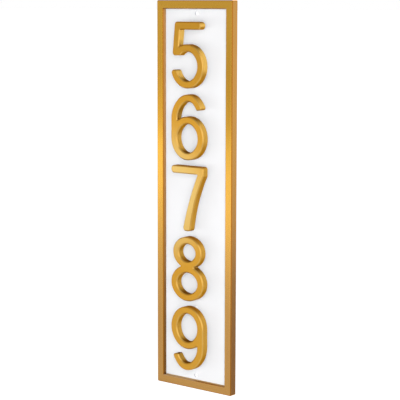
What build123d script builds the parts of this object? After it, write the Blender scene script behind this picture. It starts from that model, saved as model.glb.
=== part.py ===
from build123d import *
from math import atan2, degrees
import os

# Upright house number plaque, in millimetres.
# It is drawn face up: x to the right, y to the top, z out from the wall, with z = 0 at the
# back of the panel. At the end every piece is stood up, so that the front faces -Y and the top +Z.

# Numerals as a set
numerals = "56789"
numeral_height = 76.2
numeral_width = 48.8
numeral_gap = 6.8
numeral_thickness = 8.5
numeral_bevel = 1.2
side_stroke = 9.2
crown_stroke = 8.3
bar_stroke = 9.0
stem_stroke = 9.0
bowl_height = 50.6
crotch_round = 0.8

# Numeral 5
five_bowl_shift = -0.7
five_bar_inset = 4.2
five_stem_top_inset = 5.6
five_stem_foot_inset = 1.8
five_foot_drop = 13.0
five_opening = 16.5
five_corner_round = 3.4

# Numeral 6, and numeral 9 as the same casting turned round
six_back_straight = 21.5
six_hook_shift = 1.5
six_hook_inset = 0.1
six_hook_drop = 16.8
six_end_tilt = 10.0
six_corner_round = 2.4

# Numeral 7
seven_shoulder_drop = 1.6
seven_head_overhang = 0.4
seven_head_width = 10.4
seven_foot_shift = -1.25
seven_foot_width = 11.5
seven_left_sag = 2.4
seven_right_sag = 4.0
seven_corner_round = 3.4
seven_post_spacing = 30.0

# Numeral 8
upper_loop_inset = 2.9
upper_loop_height = 37.6
loop_overlap = 3.5

# Frame
plaque_width = 113.0
end_margin = 24.5
bar_face = 10.0
bar_edge_bevel = 0.9
corner_round = 1.5
panel_inset = 5.0
rear_lip = 2.0
groove_depth = 3.0

# Panel
panel_thickness = 2.0
panel_back_play = 0.2
panel_edge_play = 0.4
wall_screw_hole = 5.0
wall_screw_inset = 15.0

# Corner keys
key_width = 4.8
key_thickness = 2.0
key_leg = 16.0
key_play = 0.1
key_wall = 1.5
key_tip_chamfer = 0.8

# Posts that hold the numerals off the panel
stand_off = 9.0
post_diameter = 5.0
post_seat = 5.0
post_play = 0.1

# Places that follow from the sizes above
half_height = numeral_height / 2
half_width = numeral_width / 2
numeral_pitch = numeral_height + numeral_gap
plaque_height = len(numerals) * numeral_height + (len(numerals) - 1) * numeral_gap + 2 * end_margin
front_z = panel_thickness + panel_inset
back_z = -rear_lip
bowl_top = bowl_height - half_height
bowl_center = bowl_height / 2 - half_height
numeral_back_z = panel_thickness + stand_off
post_hole = post_diameter + 2 * post_play
channel_width = key_width + 2 * key_play
channel_inset = (bar_face - channel_width) / 2
channel_front_z = front_z - key_wall
channel_back_z = channel_front_z - key_thickness - key_play
beyond = 2 * numeral_height

# Difference below which an oval is a plain circle
circle_limit = 1e-4


def numeral_middle(place):
    """Height of a numeral's middle above the plaque's middle, counted from the top."""
    return ((len(numerals) - 1) / 2 - place) * numeral_pitch


def block(left, right, bottom, top):
    """Upright rectangle between two sides and two levels."""
    return Pos((left + right) / 2, (bottom + top) / 2) * Rectangle(right - left, top - bottom)


def quadrant(center_x, center_y, reach, rise, side):
    """Two tangent arcs that turn as a quarter ellipse does, from its side up to its crown.

    The side is 1 on the right and -1 on the left.
    """
    short, long = sorted((reach, rise))
    side_back, crown_down, meet = 0, 0, 45
    if long - short > circle_limit:
        end_radius = short**2 / long
        shift = ((long - end_radius) ** 2 - (short - end_radius) ** 2) / (2 * (short - end_radius))
        side_back, crown_down = shift, end_radius - long
        if reach > rise:
            side_back, crown_down = crown_down, side_back
        meet = degrees(atan2(abs(crown_down), abs(side_back)))
    side_start = 90 - side * 90
    return [
        CenterArc((center_x - side * side_back, center_y), reach + side_back, side_start, side * meet),
        CenterArc((center_x, center_y - crown_down), rise + crown_down, 90, side * (meet - 90)),
    ]


def oval(width, height):
    """Oval of tangent arcs about the middle."""
    upper = [arc for side in (1, -1) for arc in quadrant(0, 0, width / 2, height / 2, side)]
    return make_face(upper + [Rot(0, 0, 180) * arc for arc in upper])


def arch(crown_x, left_reach, right_reach, springing, crown, foot):
    """Area under an arch whose two sides may differ, down to a level foot."""
    rise = crown - springing
    legs = Polyline(
        (crown_x - left_reach, springing),
        (crown_x - left_reach, foot),
        (crown_x + right_reach, foot),
        (crown_x + right_reach, springing),
    )
    return make_face(
        quadrant(crown_x, springing, left_reach, rise, -1)
        + quadrant(crown_x, springing, right_reach, rise, 1)
        + legs.edges()
    )


def ease(outline, corner_radius):
    """Round the corners of a numeral's outline, the outer ones more than the crotches."""
    outline = offset(offset(Sketch(outline.wrapped), -corner_radius), corner_radius)
    return offset(offset(outline, crotch_round), -crotch_round)


def five():
    """Outline of the 5 and the places of its posts."""
    bowl_place = Pos(five_bowl_shift, bowl_center)
    bowl = bowl_place * oval(numeral_width, bowl_height)
    counter = bowl_place * oval(numeral_width - 2 * side_stroke, bowl_height - 2 * crown_stroke)
    foot = bowl_top - five_foot_drop
    opening = block(-beyond, five_bowl_shift, foot - five_opening, foot)
    stem_top = five_stem_top_inset - half_width
    stem_foot = five_stem_foot_inset - half_width
    stem = make_face(
        Polyline(
            (stem_top, half_height),
            (stem_top + stem_stroke, half_height),
            (stem_foot + stem_stroke, foot),
            (stem_foot, foot),
            close=True,
        )
    )
    bar_level = half_height - bar_stroke / 2
    bar_end = half_width - five_bar_inset - bar_stroke / 2
    bar = block(stem_top, bar_end, half_height - bar_stroke, half_height)
    bar += Pos(bar_end, bar_level) * Circle(bar_stroke / 2)
    outline = bowl - counter - opening + stem + bar
    posts = [(0, bar_level), (five_bowl_shift, crown_stroke / 2 - half_height)]
    return ease(outline, five_corner_round), posts


def six():
    """Outline of the 6 and the places of its posts."""
    bowl = Pos(0, bowl_center) * oval(numeral_width, bowl_height)
    counter = Pos(0, bowl_center) * oval(numeral_width - 2 * side_stroke, bowl_height - 2 * crown_stroke)
    springing = bowl_center + six_back_straight
    back_reach = half_width + six_hook_shift
    hook_reach = half_width - six_hook_shift - six_hook_inset
    hook = arch(six_hook_shift, back_reach, hook_reach, springing, half_height, bowl_center)
    hook -= arch(
        six_hook_shift,
        back_reach - side_stroke,
        hook_reach - crown_stroke,
        springing,
        half_height - crown_stroke,
        bowl_center,
    )
    end_place = Pos(hook_reach, half_height - six_hook_drop) * Rot(0, 0, six_end_tilt)
    hook -= end_place * block(-hook_reach, beyond, -beyond, 0)
    outline = bowl + hook - counter
    posts = [(six_hook_shift, half_height - crown_stroke / 2), (0, crown_stroke / 2 - half_height)]
    return ease(outline, six_corner_round), posts


def bow(head_x, foot_x, sag):
    """Centre and radius of an arc from the foot of a numeral to its head, bulging left by the sag."""
    head = Vector(head_x, half_height)
    foot = Vector(foot_x, -half_height)
    chord = head - foot
    radius = (chord.length**2 / 4 + sag**2) / (2 * sag)
    hollow_side = Vector(chord.Y, -chord.X).normalized()
    return (head + foot) / 2 + hollow_side * (radius - sag), radius


def seven():
    """Outline of the 7 and the places of its posts, which are both in the bar."""
    head_x = half_width + seven_head_overhang
    head_reach = seven_head_width / 2
    foot_reach = seven_foot_width / 2
    left, left_radius = bow(head_x - head_reach, seven_foot_shift - foot_reach, seven_left_sag)
    right, right_radius = bow(head_x + head_reach, seven_foot_shift + foot_reach, seven_right_sag)
    shoulder = half_height - bar_stroke - seven_shoulder_drop
    bar_reach = right.X - (right_radius**2 - (shoulder - right.Y) ** 2) ** 0.5
    bar_level = half_height - bar_stroke / 2
    bar_end = bar_stroke / 2 - half_width
    bar = block(bar_end, bar_reach, half_height - bar_stroke, half_height)
    bar += Pos(bar_end, bar_level) * Circle(bar_stroke / 2)
    stem = Pos(left) * Circle(left_radius) - Pos(right) * Circle(right_radius)
    stem &= block(-half_width, bar_reach, -half_height, half_height)
    posts = [(bar_end, bar_level), (bar_end + seven_post_spacing, bar_level)]
    return ease(bar + stem, seven_corner_round), posts


def eight():
    """Outline of the 8 and the places of its posts."""
    upper_width = numeral_width - 2 * upper_loop_inset
    lower_height = numeral_height + loop_overlap - upper_loop_height
    upper_place = Pos(0, half_height - upper_loop_height / 2)
    lower_place = Pos(0, lower_height / 2 - half_height)
    outline = upper_place * oval(upper_width, upper_loop_height)
    outline += lower_place * oval(numeral_width, lower_height)
    outline -= upper_place * oval(upper_width - 2 * side_stroke, upper_loop_height - 2 * crown_stroke)
    outline -= lower_place * oval(numeral_width - 2 * side_stroke, lower_height - 2 * crown_stroke)
    posts = [(0, half_height - crown_stroke / 2), (0, crown_stroke / 2 - half_height)]
    return ease(outline, crotch_round), posts


def nine():
    """Outline of the 9, which is the 6 turned round, and the places of its posts."""
    outline, posts = six()
    return Rot(0, 0, 180) * outline, [(-x, -y) for x, y in posts]


def numeral_solid(outline, posts):
    """Thick numeral with a bevelled front edge and blind post holes in its back."""
    solid = extrude(outline, numeral_thickness)
    solid = chamfer(solid.edges().group_by(Axis.Z)[-1], numeral_bevel)
    for x, y in posts:
        solid -= Pos(x, y, post_seat / 2) * Cylinder(post_hole / 2, post_seat)
    return solid


def slab(inset, bottom, top):
    """Plate smaller than the plaque by an inset all round, between two levels."""
    outline = Rectangle(plaque_width - 2 * inset, plaque_height - 2 * inset)
    return extrude(Pos(0, 0, bottom) * outline, top - bottom)


def frame_ring():
    """The whole frame before it is sawn into bars, with panel groove and key channel."""
    outline = RectangleRounded(plaque_width, plaque_height, corner_round)
    outline -= Rectangle(plaque_width - 2 * bar_face, plaque_height - 2 * bar_face)
    ring = extrude(Pos(0, 0, back_z) * outline, front_z - back_z)
    ring = chamfer(ring.edges().group_by(Axis.Z)[-1], bar_edge_bevel)
    ring -= slab(bar_face - groove_depth, -panel_back_play, panel_thickness)
    channel = slab(channel_inset, channel_back_z, channel_front_z)
    channel -= slab(channel_inset + channel_width, channel_back_z, channel_front_z)
    return ring - channel


def at_corner(x_side, y_side, inset):
    """Point on a mitre line of the frame, set in from one of its outer corners."""
    return x_side * (plaque_width / 2 - inset), y_side * (plaque_height / 2 - inset)


def mitred_bar(ring, near, far):
    """Bar sawn from the frame between two of its corners, with a mitre at each."""
    wedge = make_face(
        Polyline(
            at_corner(*near, -bar_face),
            at_corner(*far, -bar_face),
            at_corner(*far, 2 * bar_face),
            at_corner(*near, 2 * bar_face),
            close=True,
        )
    )
    return ring & extrude(wedge, 2 * (front_z - back_z), both=True)


def corner_key(corner, turn):
    """Flat L that joins two bars inside their channels."""
    outline = block(0, key_leg, 0, key_width) + block(0, key_width, 0, key_leg)
    tips = outline.vertices().group_by(Axis.X)[-1] + outline.vertices().group_by(Axis.Y)[-1]
    outline = chamfer(tips, key_tip_chamfer)
    place = Pos(*at_corner(*corner, channel_inset + key_play), channel_front_z)
    return place * Rot(0, 0, turn) * extrude(outline, -key_thickness)


def panel():
    """White panel with its wall screw holes."""
    plate = slab(bar_face - groove_depth + panel_edge_play, 0, panel_thickness)
    hole_y = plaque_height / 2 - wall_screw_inset
    for y in (hole_y, -hole_y):
        plate -= Pos(0, y) * Cylinder(wall_screw_hole / 2, 2 * front_z)
    return plate


def post():
    """Stand-off post, from the face of the panel to the end of its seat in a numeral."""
    return extrude(Pos(0, 0, panel_thickness) * Circle(post_diameter / 2), stand_off + post_seat)


def main():
    """Build every piece face up, stand it up and save it."""
    outlines = {"5": five, "6": six, "7": seven, "8": eight, "9": nine}
    pieces = {"panel": panel()}
    for place, name in enumerate(numerals):
        outline, posts = outlines[name]()
        middle = Pos(0, numeral_middle(place))
        numeral = Pos(0, 0, numeral_back_z) * numeral_solid(outline, posts)
        pieces[f"numeral_{name}"] = middle * numeral
        pieces[f"posts_{name}"] = middle * (Part() + [Pos(x, y) * post() for x, y in posts])

    ring = frame_ring()
    top_left, top_right, bottom_right, bottom_left = (-1, 1), (1, 1), (1, -1), (-1, -1)
    pieces["frame_top"] = mitred_bar(ring, top_left, top_right)
    pieces["frame_right"] = mitred_bar(ring, top_right, bottom_right)
    pieces["frame_bottom"] = mitred_bar(ring, bottom_right, bottom_left)
    pieces["frame_left"] = mitred_bar(ring, bottom_left, top_left)
    pieces["corner_key_bottom_left"] = corner_key(bottom_left, 0)
    pieces["corner_key_bottom_right"] = corner_key(bottom_right, 90)
    pieces["corner_key_top_right"] = corner_key(top_right, 180)
    pieces["corner_key_top_left"] = corner_key(top_left, 270)

    upright = Plane(origin=(0, 0, 0), x_dir=(1, 0, 0), z_dir=(0, -1, 0))
    os.makedirs("parts", exist_ok=True)
    for name, piece in pieces.items():
        export_step(upright * piece, f"parts/{name}.step")


main()
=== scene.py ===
# %% [markdown]
# # An upright house number plaque
#
# The real thing is a slim satin gold frame round a white metal panel, with five gold numerals that
# stand a little way off the panel. All of it is rigid, and the solids already have its shape, so
# this lesson is mostly about finishes and light: how the same gold can read as a drawn bar in one
# place and as a cast numeral in another. The box round the solids is measured first.

# %% Load the solids and measure them
import math

import bpy
from mathutils import Matrix, Quaternion, Vector


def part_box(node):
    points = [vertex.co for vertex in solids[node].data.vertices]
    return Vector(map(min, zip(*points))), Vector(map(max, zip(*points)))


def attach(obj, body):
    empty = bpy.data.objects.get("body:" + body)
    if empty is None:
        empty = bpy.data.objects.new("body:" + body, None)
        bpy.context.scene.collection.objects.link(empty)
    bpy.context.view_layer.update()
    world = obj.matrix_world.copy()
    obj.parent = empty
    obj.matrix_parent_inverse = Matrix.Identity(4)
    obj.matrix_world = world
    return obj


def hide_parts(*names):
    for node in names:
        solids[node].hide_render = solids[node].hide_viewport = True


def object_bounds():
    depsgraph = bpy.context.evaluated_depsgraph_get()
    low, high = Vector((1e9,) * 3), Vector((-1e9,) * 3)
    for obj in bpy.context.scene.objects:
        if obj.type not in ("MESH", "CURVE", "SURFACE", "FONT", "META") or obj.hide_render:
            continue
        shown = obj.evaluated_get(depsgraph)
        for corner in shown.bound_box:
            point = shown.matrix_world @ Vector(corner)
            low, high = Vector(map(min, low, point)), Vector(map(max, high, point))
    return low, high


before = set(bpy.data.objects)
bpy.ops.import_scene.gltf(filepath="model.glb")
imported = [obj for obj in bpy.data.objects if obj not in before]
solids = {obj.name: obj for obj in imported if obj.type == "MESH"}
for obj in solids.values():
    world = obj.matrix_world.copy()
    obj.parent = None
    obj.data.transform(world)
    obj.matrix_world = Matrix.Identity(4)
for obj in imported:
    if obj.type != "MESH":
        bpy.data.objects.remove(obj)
cad_low, cad_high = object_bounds()
print("solids:", sorted(solids))
print("size in mm:", [round(1000 * side, 1) for side in cad_high - cad_low])

# %% [markdown]
# ## The camera
#
# The photograph looks at the plaque from the right through a long lens, with the eye about level
# with the plaque's top. Its uprights are parallel, as a level camera with a shifted lens draws
# them. Blender's camera has a shift too, but the shift stays when the camera moves round the
# plaque, and half of the plaque would then leave the frame. So this camera has none and looks down
# by 7.7 degrees, and its uprights draw together very slightly towards the foot. A camera can be
# aimed by a constraint, but here its axes are written out from an azimuth, a pitch and a roll,
# because then each of them can be fitted by itself. The lens follows from the distance: about
# 132 mm on a 36 mm sensor makes the plaque just fill the frame.

# %% Work out where the camera looks
view_azimuth = math.radians(39.39)
view_pitch = math.radians(7.704)
view_roll = math.radians(0.123)

upright = Vector((0, 0, 1))
level_ahead = Vector((-math.sin(view_azimuth), math.cos(view_azimuth), 0))
level_right = Vector((math.cos(view_azimuth), math.sin(view_azimuth), 0))
ahead = level_ahead * math.cos(view_pitch) - upright * math.sin(view_pitch)
lifted = upright * math.cos(view_pitch) + level_ahead * math.sin(view_pitch)
right = level_right * math.cos(view_roll) + lifted * math.sin(view_roll)
up = lifted * math.cos(view_roll) - level_right * math.sin(view_roll)
print("the camera looks along", [round(c, 3) for c in ahead])

# %% Set up the camera
view_distance = 1.7
view_height = 0.2264
view_side = 0.0018
frame_back = 0.002
sensor_width = 36
lens_pixels = 1462.9
image_pixels = 400

camera_data = bpy.data.cameras.new("plaque_camera")
camera_data.sensor_width = sensor_width
camera_data.lens = lens_pixels * sensor_width / image_pixels
camera = bpy.data.objects.new("plaque_camera", camera_data)
bpy.context.scene.collection.objects.link(camera)
eye = level_right * view_side + upright * view_height - level_ahead * view_distance
eye.y += frame_back
camera.matrix_world = Matrix.Translation(eye) @ Matrix((right, up, -ahead)).transposed().to_4x4()
bpy.context.scene.camera = camera
print("camera at", [round(c, 3) for c in eye], "with a lens of", round(camera_data.lens, 1), "mm")

# %% [markdown]
# ## Writing shaders as sums
#
# A finish is a small sum: this colour, a little darker there, rougher where the grain runs. Nodes
# can be added and linked one by one, but then such a sum takes many lines. So one class wraps a
# socket, and the signs between two wrapped sockets add the Math nodes. Its `node` method adds any
# other node: the settings go in first, because some of them change which sockets the node has.

# %% A socket that can be added and multiplied
class Wire:
    def __init__(self, tree, socket=None):
        self.tree = tree
        self.socket = socket

    def node(self, kind, settings, inputs, output=0):
        made = self.tree.nodes.new(kind)
        for name, value in settings.items():
            setattr(made, name, value)
        for name, value in inputs.items():
            if isinstance(value, Wire):
                self.tree.links.new(value.socket, made.inputs[name])
            else:
                made.inputs[name].default_value = value
        return Wire(self.tree, made.outputs[output])

    def other(self, output):
        return Wire(self.tree, self.socket.node.outputs[output])

    def sum(self, operation, first, second):
        return self.node("ShaderNodeMath", {"operation": operation}, {0: first, 1: second})

    def __add__(self, value):
        return self.sum("ADD", self, value)

    def __radd__(self, value):
        return self.sum("ADD", value, self)

    def __sub__(self, value):
        return self.sum("SUBTRACT", self, value)

    def __rsub__(self, value):
        return self.sum("SUBTRACT", value, self)

    def __mul__(self, value):
        return self.sum("MULTIPLY", self, value)

    def __rmul__(self, value):
        return self.sum("MULTIPLY", value, self)

    def __abs__(self):
        return self.node("ShaderNodeMath", {"operation": "ABSOLUTE"}, {0: self})

    def between(self, low, high):
        return self.node(
            "ShaderNodeMapRange",
            {"interpolation_type": "SMOOTHSTEP"},
            {"Value": self, "From Min": low, "From Max": high, "To Min": 0.0, "To Max": 1.0},
        )

    def blend(self, first, second):
        return self.node("ShaderNodeMix", {"data_type": "RGBA"}, {0: self, 6: first, 7: second}, 2)


print("besides the signs, a wire has:", [name for name in vars(Wire) if not name.startswith("_")])

# %% [markdown]
# ## Starting a finish
#
# A colour is easiest to write as a screen shows it, from 0 to 255, but a shader counts light, so
# `paint` turns the one into the other, as Blender's colour picker does unseen. `new_finish` starts
# a material and gives the place on the plaque in Object coordinates, which are the same in every
# view. `connect` fills the sockets of its shader: a wire is linked, and a plain value is set on the
# socket itself, because an export keeps such a value best.

# %% Paint, a new finish and its sockets
def paint(red, green, blue):
    def linear(level):
        level /= 255
        return level / 12.92 if level <= 0.04045 else ((level + 0.055) / 1.055) ** 2.4

    return (linear(red), linear(green), linear(blue), 1)


def new_finish(name):
    material = bpy.data.materials.new(name)
    material.use_nodes = True
    tree = material.node_tree
    surface = tree.nodes["Principled BSDF"]
    start = Wire(tree)
    place = start.node("ShaderNodeTexCoord", {}, {}, "Object")
    return material, surface, start, place


def connect(surface, **sockets):
    for name, value in sockets.items():
        socket = surface.inputs[name.replace("_", " ").title()]
        if isinstance(value, Wire):
            surface.id_data.links.new(value.socket, socket)
        else:
            socket.default_value = value


print("white paint as the shader takes it:", [round(c, 3) for c in paint(245, 245, 245)])

# %% [markdown]
# ## Grain, relief and the way a face points
#
# Every metal and paint here has some grain, and pictures of grain would need a map on each piece.
# Noise in the object's own coordinates needs none and shows no seam: `speckle` stretches it, and
# the larger the stretch, the finer the grain. `relief` turns the same noise into a slight bump.
# `facing` tells fronts, sides and ledges apart by the true normal, which is that of the flat face
# under any smooth shading, so a narrow bevel keeps its own tone.

# %% Noise, bump and normals
def even(stretch):
    return (stretch, stretch, stretch)


def speckle(start, place, stretch, detail=2.0):
    spread = start.node("ShaderNodeMapping", {}, {"Vector": place, "Scale": stretch})
    return start.node("ShaderNodeTexNoise", {}, {"Vector": spread, "Scale": 1.0, "Detail": detail})


def relief(start, height, depth, strength):
    return start.node(
        "ShaderNodeBump", {}, {"Height": height, "Distance": depth, "Strength": strength}, "Normal"
    )


def facing(start):
    normal = start.node("ShaderNodeNewGeometry", {}, {}, "True Normal")
    split = start.node("ShaderNodeSeparateXYZ", {}, {"Vector": normal}, "X")
    return split, split.other("Y"), split.other("Z")


for stretch in (20, 200, 2000):
    print("a stretch of", stretch, "makes grains of about", 1000 / stretch, "mm")

# %% [markdown]
# ## Satin gold on the frame
#
# The frame is drawn aluminium bar, anodised a satin gold. Drawing and brushing leave hairlines that
# run along each bar, so its noise is stretched along X on the level bars and along Z on the
# uprights, and the same noise moves colour, roughness and relief together. A tint on the shader's
# rim keeps the metal gold where it is seen at a slant.
#
# The tone drifts from a clear gold at the head to a browner one at the foot, with a band of painted
# shade in the upper half. The sides of a bar are painted browner than its front, as shade, and the
# inner walls of the uprights are painted much darker towards the foot, as shade. The inner walls of
# the level bars are painted pale, as light on a ledge, and the narrow edges are painted dark, as
# shade. All of this could be painted on a map, but the way a face points and its place tell it for
# every bar at once. A wall counts as an inner one where it lies more than half a bar's face inside
# the box round the solids.

# %% Tones of the bars
bar_head = paint(180, 137, 50)
bar_foot = paint(170, 128, 74)
# painted shade: a darker band in the upper half of the bars
bar_painted_shade = paint(164, 121, 38)
bar_streak = paint(200, 156, 78)
# painted shade: sides and inner walls are browner than the front and darker towards the foot
bar_side_head = paint(198, 148, 82)
bar_side_foot = paint(161, 116, 74)
bar_inner_head = paint(194, 143, 88)
bar_inner_foot = paint(122, 84, 44)
# painted light: the inner walls of the level bars are pale
bar_ledge_light = paint(174, 144, 110)
# painted shade: the narrow edges of the bars are dark
bar_edge_shade = paint(130, 82, 24)
bar_rim = paint(225, 195, 150)
print("clear gold at the head of a bar:", [round(c, 3) for c in bar_head])

# %% Where on a bar each tone lies
face_rise = (-0.2, 0.1)
side_rise = (-0.22, 0.12)
painted_shade_start = (0.05, 0.1)
painted_shade_end = (0.21, 0.14)
turned_aside = (0.6, 0.4)
edge_start = (0.55, 0.68)
edge_end = (0.9, 0.75)
faces_sideways = (0.5, 0.9)
faces_up_or_down = (0.4, 0.7)
half_bar = 0.005
mask_border = 0.001
inner_reach = (cad_high.x - half_bar, cad_high.x - half_bar - mask_border)
inner_rise = (cad_high.z - half_bar, cad_high.z - half_bar - mask_border)
print("inner walls lie within", round(inner_reach[1], 4), "m sideways, or", round(inner_rise[1], 4), "m up")

# %% Brushed gold for the level and the upright bars
hairline_fine = 1900.0
hairline_long = 9.0
hairline_bright = (0.35, 0.75)
hairline_depth = 0.00002
hairline_relief = 0.25
cloud_grain = 14.0
streak_share = 0.25
painted_shade_share = 0.8
bar_rough = 0.2
hairline_rough = 0.07
cloud_rough = 0.04


def brushed_gold(name, stretch):
    material, surface, start, place = new_finish(name)
    hairline = speckle(start, place, stretch)
    cloud = speckle(start, place, even(cloud_grain), 1.0)
    across, forward, upward = facing(start)
    front = abs(forward)
    sideways = start.node("ShaderNodeSeparateXYZ", {}, {"Vector": place}, "X")
    height = sideways.other("Z")

    # painted shade: a darker band in the upper half of the bars
    shade = height.between(*painted_shade_start) * height.between(*painted_shade_end)
    drift = height.between(*face_rise).blend(bar_foot, bar_head)
    tone = (painted_shade_share * shade).blend(drift, bar_painted_shade)
    face = (streak_share * hairline.between(*hairline_bright)).blend(tone, bar_streak)

    # painted shade: the sides and inner walls darken towards the foot
    fall = height.between(*side_rise)
    outer_wall = fall.blend(bar_side_foot, bar_side_head)
    inner_wall = fall.blend(bar_inner_foot, bar_inner_head)
    inner = abs(sideways).between(*inner_reach) * abs(across).between(*faces_sideways)
    flank = inner.blend(outer_wall, inner_wall)

    # painted shade on the narrow edges
    edge = front.between(*edge_start) * front.between(*edge_end)
    bar = edge.blend(front.between(*turned_aside).blend(face, flank), bar_edge_shade)
    # painted light on the inner walls of the level bars
    ledge = abs(upward).between(*faces_up_or_down) * abs(height).between(*inner_rise)
    connect(
        surface,
        base_color=ledge.blend(bar, bar_ledge_light),
        metallic=1.0,
        specular_tint=bar_rim,
        roughness=bar_rough + hairline_rough * hairline + cloud_rough * cloud,
        normal=relief(start, hairline, hairline_depth, hairline_relief),
    )
    return material


level_gold = brushed_gold("frame_gold_level", (hairline_long, hairline_fine, hairline_fine))
upright_gold = brushed_gold("frame_gold_upright", (hairline_fine, hairline_fine, hairline_long))
print("brushed gold:", len(upright_gold.node_tree.nodes), "nodes in each finish")

# %% [markdown]
# ## Orange gold on the numerals
#
# The numerals are castings with a warm metallic coat. A coat of flakes has no grain direction, so
# its noise is even in all directions: a fine one for the flakes and a broad one for a slow mottle.
# The fronts are a little lighter towards the foot, and a painted highlight makes them palest in a
# patch at the left of the 7.
#
# Bevels that face right are painted a lighter tone, as a highlight. Walls are painted brighter than
# the fronts, and brighter still towards the head, as lit faces, and deeper underneath, as shade.
# What faces up is painted a matte dark brown with no gloss of its own, as shade, which is darkest
# in the hollows of the bowls and hooks. How high a place is within its numeral follows from the
# pitch of the stack, counted from the middle of the 7, which is at height 0. A map could hold all
# this too, but rules on normals and heights fit the five numerals at once.

# %% Tones of the castings
cast_deep = paint(178, 128, 36)
cast_foot = paint(190, 139, 46)
# painted highlight and mottle: the pale tone of the patch at the left of the 7 and of the mottle
cast_glow_and_mottle = paint(190, 160, 94)
# painted light: walls are brighter than the fronts, more so towards the head
cast_wall = paint(206, 157, 66)
cast_wall_head = paint(236, 190, 96)
# painted shade on walls that face down
cast_under_shade = paint(181, 129, 46)
# painted highlight on bevels that face right
cast_bevel_highlight = paint(171, 134, 66)
# painted shade: faces that point up are a matte dark brown
cast_ledge_shade = paint(162, 102, 20)
# painted shade, darkest in the hollows of the bowls and hooks
cast_hollow_shade = paint(112, 68, 12)
cast_rim = paint(225, 195, 150)
print("orange gold of a casting:", [round(c, 3) for c in cast_deep])

# %% Where on a casting each tone lies
cast_rise = (-0.2, -0.04)
wall_rise = (0.04, 0.14)
painted_glow_middle = (-0.045, cad_low.y, 0.002)
painted_glow_reach = (0.098, 0.045)
faces_down = (0.0, -0.5)
turned_to_wall = (0.5, 0.3)
bevel_start = (0.5, 0.66)
bevel_end = (0.92, 0.78)
bevel_right = (-0.2, 0.5)
hollow_top = (0.64, 0.6)
ledge_start = 0.45
ledge_delay = 0.12
ledge_full = 0.96
numeral_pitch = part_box("numeral_5")[0].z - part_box("numeral_6")[0].z
numeral_middle = 0.5
print("the numerals are stacked", round(1000 * numeral_pitch, 1), "mm apart")

# %% Cast gold for the numerals
flake_grain = 1500.0
flake_depth = 0.00003
flake_relief = 0.2
mottle_grain = 22.0
mottle_share = 0.2
mottle_offset = 0.1
painted_glow_share = 0.85
ledge_dullness = 0.8
cast_rough = 0.28
flake_rough = 0.1
ledge_rough = 0.08


def cast_gold(name):
    material, surface, start, place = new_finish(name)
    flake = speckle(start, place, even(flake_grain), 1.0)
    drift = speckle(start, place, even(mottle_grain))
    across, forward, upward = facing(start)
    front = abs(forward)
    height = start.node("ShaderNodeSeparateXYZ", {}, {"Vector": place}, "Z")

    # painted highlight: a pale patch round a point at the left of the 7, mixed with the mottle
    ends = {0: place, 1: painted_glow_middle}
    reach = start.node("ShaderNodeVectorMath", {"operation": "DISTANCE"}, ends, "Value")
    glow_and_mottle = painted_glow_share * reach.between(*painted_glow_reach) + mottle_share * (flake + drift) - mottle_offset
    face = glow_and_mottle.blend(height.between(*cast_rise).blend(cast_foot, cast_deep), cast_glow_and_mottle)

    # painted light on the walls, brighter towards the head
    side = height.between(*wall_rise).blend(cast_wall, cast_wall_head)
    # painted shade on walls that face down
    flank = upward.between(*faces_down).blend(side, cast_under_shade)
    # painted highlight on bevels that face right
    slope = front.between(*bevel_start) * front.between(*bevel_end)
    bevel = slope * across.between(*bevel_right)
    cast = bevel.blend(front.between(*turned_to_wall).blend(face, flank), cast_bevel_highlight)

    # the lower part of each numeral's pitch, where the hollows get darker painted shade
    stacked = height * (1 / numeral_pitch) + numeral_middle
    rise = start.node("ShaderNodeMath", {"operation": "FRACT"}, {0: stacked})
    hollow = rise.between(*hollow_top)
    # painted shade: faces that point up turn dark brown and lose their gloss, darkest in the hollows
    ledge = upward.between(ledge_start + ledge_delay * hollow, ledge_full)
    connect(
        surface,
        base_color=ledge.blend(cast, hollow.blend(cast_ledge_shade, cast_hollow_shade)),
        metallic=1 - ledge_dullness * ledge,
        specular_tint=cast_rim,
        roughness=cast_rough + flake_rough * flake + ledge_rough * ledge,
        normal=relief(start, flake, flake_depth, flake_relief),
    )
    surface.inputs["Specular IOR Level"].default_value = 0.0
    return material


numeral_gold = cast_gold("numeral_gold")
print("cast gold:", len(numeral_gold.node_tree.nodes), "nodes")

# %% [markdown]
# ## White panel
#
# The panel is sheet metal under white powder coat, which dries with a faint orange peel: a shallow
# bump about a millimetre across and almost no change in colour. The peel could be modelled, but at
# this depth a bump looks the same and costs no faces. Where the sheet is cut or drilled, the edge is
# painted a light grey with a little metal in it, partly as bare metal and partly as painted shade
# on the wall of a hole, and the true normal tells where that is.

# %% Powder coat for the panel
coat_thin = paint(244, 244, 245)
coat_thick = paint(248, 248, 249)
coat_grain = 18.0
coat_range = (0.3, 0.7)
# light grey on cut edges: partly bare metal, partly painted shade on the walls of the holes
cut_metal_and_shade = paint(206, 208, 212)
cut_edge = (0.6, 0.3)
cut_share = 0.3
peel_grain = 900.0
peel_depth = 0.00005
peel_relief = 0.15
coat_rough = 0.36
peel_rough = 0.12


def powder_coat(name):
    material, surface, start, place = new_finish(name)
    peel = speckle(start, place, even(peel_grain), 1.0)
    cloud = speckle(start, place, even(coat_grain))
    _, forward, _ = facing(start)
    cut = abs(forward).between(*cut_edge)
    coat = cloud.between(*coat_range).blend(coat_thin, coat_thick)
    connect(
        surface,
        base_color=cut.blend(coat, cut_metal_and_shade),
        metallic=cut_share * cut,
        roughness=coat_rough + peel_rough * peel,
        normal=relief(start, peel, peel_depth, peel_relief),
    )
    return material


panel_white = powder_coat("panel_white")
print("powder coat:", len(panel_white.node_tree.nodes), "nodes")

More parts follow.
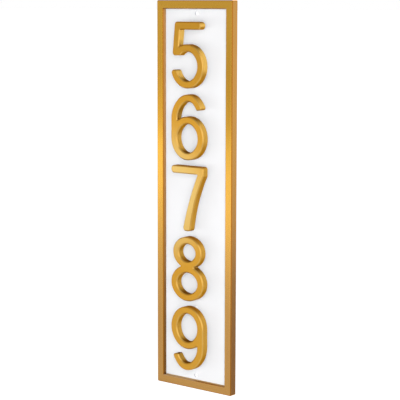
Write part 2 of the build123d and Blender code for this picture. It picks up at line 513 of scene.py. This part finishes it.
# %% [markdown]
# ## White posts and plain keys
#
# The posts behind the numerals are moulded in white plastic, a little duller and warmer than the
# panel. The keys in the corners are bare aluminium and show only where the frame is taken apart,
# but a part that may be lent out piece by piece needs a finish on each of them. Each could have a
# shader of its own, but both are an even grain between two tones, so one function makes both.

# %% Moulded plastic and bare aluminium
def even_grain(name, tones, stretch, detail, metal, rough, rough_spread, depth, strength):
    material, surface, start, place = new_finish(name)
    grain = speckle(start, place, even(stretch), detail)
    connect(
        surface,
        base_color=grain.blend(*tones),
        metallic=metal,
        roughness=rough + rough_spread * grain,
        normal=relief(start, grain, depth, strength),
    )
    return material


post_white = even_grain(
    "post_white", (paint(236, 235, 232), paint(246, 245, 243)), stretch=300.0, detail=2.0,
    metal=0.0, rough=0.42, rough_spread=0.16, depth=0.00003, strength=0.2,
)
key_aluminium = even_grain(
    "key_aluminium", (paint(176, 177, 180), paint(212, 213, 215)), stretch=700.0, detail=3.0,
    metal=1.0, rough=0.35, rough_spread=0.2, depth=0.00004, strength=0.3,
)
print("finishes so far:", [material.name for material in bpy.data.materials if material.users])

# %% [markdown]
# ## A finish for every solid
#
# A solid keeps its mesh and only changes its material slot. The slots could be set one by one, but
# the names of the pieces say what they are made of, so a short list of name beginnings is enough.
# The bars are also left out of diffuse bounces: a renderer lets the gold throw an orange cast on
# the white beside it, and the photograph shows none.

# %% Give each solid its finish
finish_of = {
    "frame_top": level_gold,
    "frame_bottom": level_gold,
    "frame_left": upright_gold,
    "frame_right": upright_gold,
    "numeral": numeral_gold,
    "panel": panel_white,
    "posts": post_white,
    "corner_key": key_aluminium,
}

for name, solid in solids.items():
    for beginning, material in finish_of.items():
        if name.startswith(beginning):
            solid.data.materials.clear()
            solid.data.materials.append(material)
    solid.visible_diffuse = not name.startswith("frame")
print("dressed:", len([s for s in solids.values() if s.data.materials]), "of", len(solids))

# %% [markdown]
# ## Smooth numerals
#
# The solids arrive as loose triangles with flat sides, and on polished metal each flat shows. A
# copy of each numeral is welded and shaded smooth, except over its real edges. Blender's menus can
# do this by hand, but the same steps repeat for five numerals, so they are one node tree, with the
# weld distance and the edge angle as its inputs.

# %% A node tree that welds and smooths a casting
def smoothing_tree():
    tree = bpy.data.node_groups.new("smooth_casting", "GeometryNodeTree")
    sockets = tree.interface
    sockets.new_socket("Geometry", in_out="INPUT", socket_type="NodeSocketGeometry")
    sockets.new_socket("Weld distance", in_out="INPUT", socket_type="NodeSocketFloat")
    sockets.new_socket("Real edge", in_out="INPUT", socket_type="NodeSocketFloat")
    sockets.new_socket("Finish", in_out="INPUT", socket_type="NodeSocketMaterial")
    sockets.new_socket("Geometry", in_out="OUTPUT", socket_type="NodeSocketGeometry")

    loose = Wire(tree).node("NodeGroupInput", {}, {}, "Geometry")
    near = loose.other("Weld distance")
    welded = loose.node("GeometryNodeMergeByDistance", {}, {"Geometry": loose, "Distance": near})
    smooth = loose.node("GeometryNodeSetShadeSmooth", {}, {"Geometry": welded})
    angle = loose.node("GeometryNodeInputMeshEdgeAngle", {}, {}, "Unsigned Angle")
    angles = {"A": angle, "B": loose.other("Real edge")}
    gentle = loose.node("FunctionNodeCompare", {"operation": "LESS_THAN"}, angles)
    edges = {"Geometry": smooth, "Shade Smooth": gentle}
    creased = loose.node("GeometryNodeSetShadeSmooth", {"domain": "EDGE"}, edges)
    whole = loose.node("GeometryNodeRealizeInstances", {}, {"Geometry": creased})
    coat = {"Geometry": whole, "Material": loose.other("Finish")}
    dressed = loose.node("GeometryNodeSetMaterial", {}, coat)
    tree.links.new(dressed.socket, tree.nodes.new("NodeGroupOutput").inputs["Geometry"])
    return tree


smooth_casting = smoothing_tree()
print("smooth_casting:", len(smooth_casting.nodes), "nodes")

# %% [markdown]
# ## Five castings
#
# Each casting takes the place of its solid. The copy first drops the normals that came with it,
# which would keep every flat. The tree then runs as a modifier. It could stay one, but its result
# is kept as a plain mesh, which is all that an export needs. A casting is left out of diffuse
# bounces for the same reason as the bars, and still throws the lamps' shadows.

# %% Make the five castings
weld_distance = 0.00001
real_edge = math.radians(25)


def casting(solid, name, material):
    rough = bpy.data.objects.new(name + "_rough", solid.data.copy())
    bpy.context.scene.collection.objects.link(rough)
    rough.data.normals_split_custom_set([(0, 0, 0)] * len(rough.data.loops))
    modifier = rough.modifiers.new("smooth", "NODES")
    modifier.node_group = smooth_casting
    inputs = {"Weld distance": weld_distance, "Real edge": real_edge, "Finish": material}
    for item in smooth_casting.interface.items_tree:
        if item.in_out == "INPUT" and item.name in inputs:
            modifier[item.identifier] = inputs[item.name]
    bpy.context.view_layer.update()
    graph = bpy.context.evaluated_depsgraph_get()
    mesh = bpy.data.meshes.new_from_object(rough.evaluated_get(graph), depsgraph=graph)
    bpy.data.objects.remove(rough)
    piece = bpy.data.objects.new(name, mesh)
    bpy.context.scene.collection.objects.link(piece)
    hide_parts(solid.name)
    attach(piece, "root")
    piece.visible_diffuse = False
    return piece


for digit in "56789":
    piece = casting(solids["numeral_" + digit], "casting_" + digit, numeral_gold)
    print(piece.name, "has", len(piece.data.vertices), "vertices")

# %% [markdown]
# ## The floor
#
# The photograph shows the plaque on plain white. A pale floor lies well below it. More light on it
# would make it white, but would bleach the plaque as well, so it adds a little light of its own for
# what the camera and the metal see, and still keeps a shadow.

# %% A finish for the floor
floor_dull = paint(244, 244, 244)
floor_bright = paint(246, 246, 246)
floor_grain = 0.8
floor_glow = 0.8
matte = 0.9
black = (0, 0, 0, 1)
white = (1, 1, 1, 1)


def seen_directly(start):
    path = start.node("ShaderNodeLightPath", {}, {}, "Is Camera Ray")
    seen = path + path.other("Is Glossy Ray")
    return (seen + path.other("Is Transmission Ray")).between(0.0, 1.0)


def floor_finish(name):
    material, surface, start, place = new_finish(name)
    cloud = speckle(start, place, even(floor_grain))
    connect(surface, base_color=cloud.blend(floor_dull, floor_bright), roughness=matte)
    glow = seen_directly(start).blend(black, white)
    connect(surface, emission_color=glow, emission_strength=floor_glow)
    return material


pale_floor = floor_finish("pale_floor")
print("floor finish:", len(pale_floor.node_tree.nodes), "nodes")

# %% Lay the floor
floor_drop = 0.6
floor_reach = 150.0
floor_level = cad_low.z - floor_drop
corners = [(-1, -1), (1, -1), (1, 1), (-1, 1)]


def flat_sheet(name, points, material):
    mesh = bpy.data.meshes.new(name)
    mesh.from_pydata(points, [], [(0, 1, 2, 3)])
    mesh.materials.append(material)
    sheet = bpy.data.objects.new(name, mesh)
    bpy.context.scene.collection.objects.link(sheet)
    return sheet


floor_points = [(x * floor_reach, y * floor_reach, floor_level) for x, y in corners]
floor = flat_sheet("floor", floor_points, pale_floor)
print("floor at", round(floor_level, 3), "m")

# %% [markdown]
# ## The room
#
# Round the plaque is an even white room. What the camera and the metal see of it is plain white,
# and what it throws on the plaque is only a quarter of that, very slightly blue, so that the boxes
# can model the shapes. A picture of a studio could stand here too, but an even room is the same
# from every side.

# %% Light the room
room_strength = 0.25
room_tint = (0.98, 0.98, 1.0, 1)

world = bpy.data.worlds.new("white_room")
world.use_nodes = True
bpy.context.scene.world = world
backdrop = world.node_tree.nodes["Background"]
seen = seen_directly(Wire(world.node_tree))
tint = seen.blend(room_tint, white)
strength = room_strength + (1 - room_strength) * seen
world.node_tree.links.new(tint.socket, backdrop.inputs["Color"])
world.node_tree.links.new(strength.socket, backdrop.inputs["Strength"])
bpy.context.scene.view_settings.view_transform = "Standard"
print("room light:", room_strength)

# %% [markdown]
# ## The soft boxes
#
# Metal shows the lamps themselves, and white paint shows only how much light it gets, so a box that
# suits the one can spoil the other. One set of boxes could be a compromise between them, but in
# Blender a lamp can be hidden from either. The key box hangs low at the left, where the front of
# the frame mirrors it towards the camera: it makes the glow half way up the bars and throws soft
# shadows to the right. The fill box shows in the metal alone. The front, ahead and rear boxes light
# paint alone, on both sides of the plaque. The back box does both from behind.

# %% Hang the soft boxes
def soft_box(name, centre, target, size, power, lean=0.0, in_metal=True, on_paint=True):
    data = bpy.data.lights.new(name, "AREA")
    data.shape = "RECTANGLE"
    data.size, data.size_y = size
    data.energy = power
    lamp = bpy.data.objects.new(name, data)
    lamp.location = centre
    aim = (Vector(target) - Vector(centre)).to_track_quat("-Z", "Y")
    lamp.rotation_euler = (aim @ Quaternion((0, 0, 1), math.radians(lean))).to_euler()
    lamp.visible_camera = False
    lamp.visible_glossy = in_metal
    lamp.visible_diffuse = on_paint
    bpy.context.scene.collection.objects.link(lamp)
    print("soft box:", name, "at", centre, "m with", power, "W")


middle = (0, 0, 0)
just_above = (0, 0, 0.03)
just_below = (0, 0, -0.05)
soft_box("key_box", (-0.80, -0.95, -0.12), just_above, size=(0.90, 0.14), power=0.96, lean=-31)
soft_box("fill_box", (1.15, -1.20, 0.45), middle, size=(2.0, 2.0), power=19.0, on_paint=False)
soft_box("back_box", (-1.0, 1.4, 0.9), middle, size=(1.2, 1.2), power=14.0)
soft_box("front_box", (1.00, -1.22, 0.24), middle, size=(0.9, 0.9), power=18.6, in_metal=False)
soft_box("ahead_box", (0.05, -1.20, -0.10), just_below, size=(0.4, 0.4), power=1.4, in_metal=False)
soft_box("rear_box", (0.60, 1.60, 0.40), middle, size=(1.2, 1.2), power=11.0, in_metal=False)

# %% [markdown]
# ## A card for the side of the frame
#
# In the photograph the right side of the frame falls in tone towards the foot. Part of that is
# painted shade in the colour of the bars. Another lamp would only add light for the rest, so a card
# stands low behind the plaque, on the right, where that side mirrors it. The card is pale, but only
# the lamps and the dim room light it, so in the metal it shows darker than the white room. Nothing
# but the metal sees it.

# %% Stand the card
card_centre = (0.9, 1.07, -0.57)
card_width = 1.6
card_height = 0.5
card_tone = paint(240, 240, 240)

card_finish, card_surface, _, _ = new_finish("shade_card")
connect(card_surface, base_color=card_tone, roughness=matte)
card_points = [(x * card_width / 2, 0, z * card_height / 2) for x, z in corners]
card = flat_sheet("shade_card", card_points, card_finish)
card.location = card_centre
card.rotation_euler = (0, 0, math.atan2(-card_centre[0], card_centre[1]))
card.visible_camera = False
card.visible_diffuse = False
card.visible_shadow = False
print("card:", card.name, "top at", round(card_centre[2] + card_height / 2, 2), "m")

# %% [markdown]
